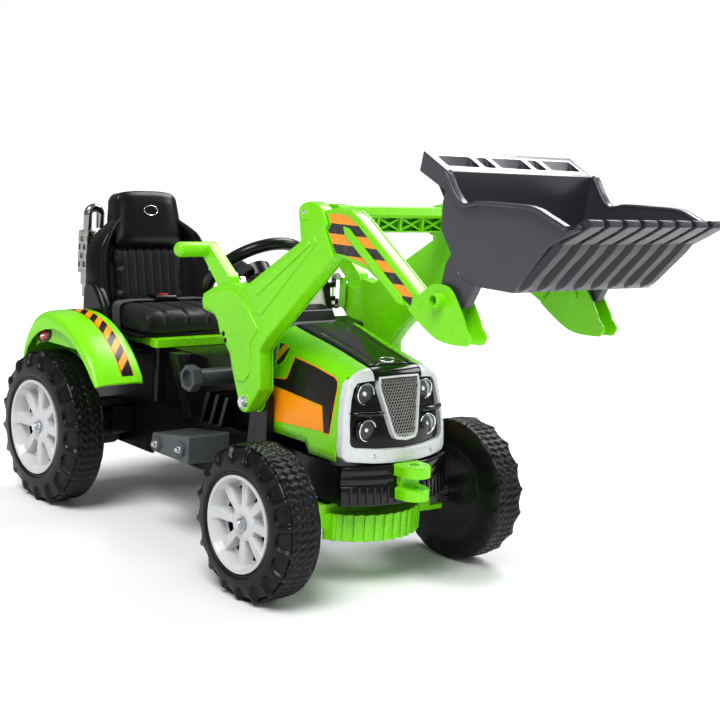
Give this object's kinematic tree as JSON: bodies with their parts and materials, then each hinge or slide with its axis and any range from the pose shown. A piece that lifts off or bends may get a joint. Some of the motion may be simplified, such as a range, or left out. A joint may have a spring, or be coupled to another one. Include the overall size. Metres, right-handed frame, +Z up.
{
  "type": "ride-on toy front loader",
  "caption": "Child's ride-on front loader tractor with a tilting bucket on lifting arms, steered front wheels, hood, seat, fenders and exhaust stack.",
  "frame": {"origin": "on the ground below the middle of the outer box", "axes": "+Z up, nose towards -Y, +X to the tractor's left"},
  "size_m": [0.53, 1.3395, 0.712],
  "materials": {
    "black_plastic": "fine moulded grain",
    "tyre": "blow-moulded, dull",
    "grey_plastic": "satin moulded",
    "green_plastic": "lime green, semi-gloss",
    "steel": "zinc plated",
    "chrome": "plated plastic",
    "red_lens": "translucent red",
    "clear_lens": "clear lens over bright reflector",
    "screen": "clear, slightly smoked",
    "gloss_black": "high gloss",
    "bucket_plastic": "dark grey, light grain",
    "seat_cover": "padded artificial leather with channels",
    "webbing": "woven belt",
    "red_plastic": "glossy button"
  },
  "bodies": {
    "chassis": {"rear_axle": "steel", "gearboxes": "black_plastic", "chassis_tub": "black_plastic", "seat_trim": "green_plastic", "battery": "black_plastic", "fender_left": "green_plastic", "fender_right": "green_plastic", "tail_lamps": "red_lens", "rear_panel": "green_plastic", "exhaust_shield": "chrome", "exhaust_stack": "chrome", "seat_shell": "black_plastic", "seat_cushion": "seat_cover", "backrest_pad": "seat_cover", "lap_belt": "webbing", "belt_buckle": "black_plastic", "hood": "green_plastic", "hood_strip": "gloss_black", "fascia": "grey_plastic", "headlamp_bezels": "black_plastic", "headlamps": "clear_lens", "grille": "chrome", "badges": "chrome", "dash_cowl": "black_plastic", "windscreen_frame": "black_plastic", "windscreen": "screen", "front_axle_beam": "black_plastic", "tow_hitch": "black_plastic", "footrests": "black_plastic", "side_tubes": "grey_plastic", "loader_pivot_bolts": "steel"},
    "steering": {"steering_shaft": "steel", "steering_wheel": "black_plastic"},
    "horn": {"horn_button": "green_plastic"},
    "steer_knuckle_left": {"knuckle_left": "steel"},
    "steer_knuckle_right": {"knuckle_right": "steel"},
    "track_rod": {"tie_rod": "black_plastic"},
    "front_wheel_left": {"front_tyre_left": "tyre", "front_rim_left": "grey_plastic"},
    "front_wheel_right": {"front_tyre_right": "tyre", "front_rim_right": "grey_plastic"},
    "rear_wheel_left": {"rear_tyre_left": "tyre", "rear_rim_left": "grey_plastic"},
    "rear_wheel_right": {"rear_tyre_right": "tyre", "rear_rim_right": "grey_plastic"},
    "loader": {"arm_left": "green_plastic", "arm_right": "green_plastic", "boom_left": "green_plastic", "boom_right": "green_plastic", "arm_covers": "green_plastic", "crossbar": "black_plastic", "bucket_pins": "steel"},
    "bucket_body": {"bucket": "bucket_plastic"},
    "levers": {"hand_levers": "black_plastic"},
    "pedal": {"accelerator_pedal": "black_plastic"},
    "power": {"power_button": "red_plastic"},
    "direction": {"direction_switch": "red_plastic"},
    "left_mirror": {"mirror_left": "chrome"},
    "right_mirror": {"mirror_right": "chrome"}
  },
  "joints": [
    {"name": "steering_turn", "type": "hinge", "parent": "chassis", "child": "steering", "pos_m": [0, 0.209, 0.467], "axis": [0, 0.6691, 0.7431], "range_deg": [-45, 45]},
    {"name": "horn_press", "type": "slide", "parent": "steering", "child": "horn", "axis": [0, -0.6691, -0.7431], "range_m": [0, 0.0025], "stiffness_N_per_m": 300, "springref_m": -0.001},
    {"name": "knuckle_left_turn", "type": "hinge", "parent": "chassis", "child": "steer_knuckle_left", "pos_m": [0.15, -0.126, 0.124], "axis": [0, 0, 1], "range_deg": [-25, 25]},
    {"name": "knuckle_right_turn", "type": "hinge", "parent": "chassis", "child": "steer_knuckle_right", "pos_m": [-0.15, -0.126, 0.124], "axis": [0, 0, 1], "range_deg": [-25, 25]},
    {"name": "track_rod_slide", "type": "slide", "parent": "chassis", "child": "track_rod", "axis": [1, 0, 0], "range_m": [-0.0194, 0.0194]},
    {"name": "front_wheel_left_spin", "type": "hinge", "parent": "steer_knuckle_left", "child": "front_wheel_left", "pos_m": [0.225, -0.126, 0.124], "axis": [1, 0, 0], "continuous": true},
    {"name": "front_wheel_right_spin", "type": "hinge", "parent": "steer_knuckle_right", "child": "front_wheel_right", "pos_m": [-0.225, -0.126, 0.124], "axis": [1, 0, 0], "continuous": true},
    {"name": "rear_wheel_left_spin", "type": "hinge", "parent": "chassis", "child": "rear_wheel_left", "pos_m": [0.225, 0.526, 0.144], "axis": [1, 0, 0], "continuous": true},
    {"name": "rear_wheel_right_spin", "type": "hinge", "parent": "chassis", "child": "rear_wheel_right", "pos_m": [-0.225, 0.526, 0.144], "axis": [1, 0, 0], "continuous": true},
    {"name": "loader_lift", "type": "hinge", "parent": "chassis", "child": "loader", "pos_m": [0, 0.0106, 0.2823], "axis": [-1, 0, 0], "range_deg": [-48, 0]},
    {"name": "bucket_tilt", "type": "hinge", "parent": "loader", "child": "bucket_body", "pos_m": [0, -0.427, 0.51], "axis": [1, 0, 0], "range_deg": [-10, 50]},
    {"name": "lever_turn", "type": "hinge", "parent": "loader", "child": "levers", "pos_m": [0, 0.088, 0.43], "axis": [1, 0, 0], "range_deg": [-25, 5]},
    {"name": "pedal_press", "type": "hinge", "parent": "chassis", "child": "pedal", "pos_m": [0, 0.226, 0.196], "axis": [1, 0, 0], "range_deg": [0, 10], "stiffness_Nm_per_rad": 2, "springref_deg": -11.46},
    {"name": "power_press", "type": "slide", "parent": "chassis", "child": "power", "axis": [0, -1, 0], "range_m": [0, 0.003], "stiffness_N_per_m": 300, "springref_m": -0.001},
    {"name": "direction_rock", "type": "hinge", "parent": "chassis", "child": "direction", "pos_m": [0.062, 0.114, 0.38], "axis": [1, 0, 0], "range_deg": [-10, 10]},
    {"name": "mirror_left_fold", "type": "hinge", "parent": "chassis", "child": "left_mirror", "pos_m": [0.092, 0.1045, 0.446], "axis": [0, 0, 1], "range_deg": [0, 70]},
    {"name": "mirror_right_fold", "type": "hinge", "parent": "chassis", "child": "right_mirror", "pos_m": [-0.092, 0.1045, 0.446], "axis": [0, 0, 1], "range_deg": [-70, 0]}
  ],
  "couplings": [
    {"joint": "knuckle_left_turn", "follows": "steering_turn", "ratio": 0.5555},
    {"joint": "knuckle_right_turn", "follows": "steering_turn", "ratio": 0.5555},
    {"joint": "track_rod_slide", "follows": "steering_turn", "m_per_rad": -0.02456},
    {"joint": "lever_turn", "follows": "bucket_tilt", "ratio": -0.5}
  ]
}
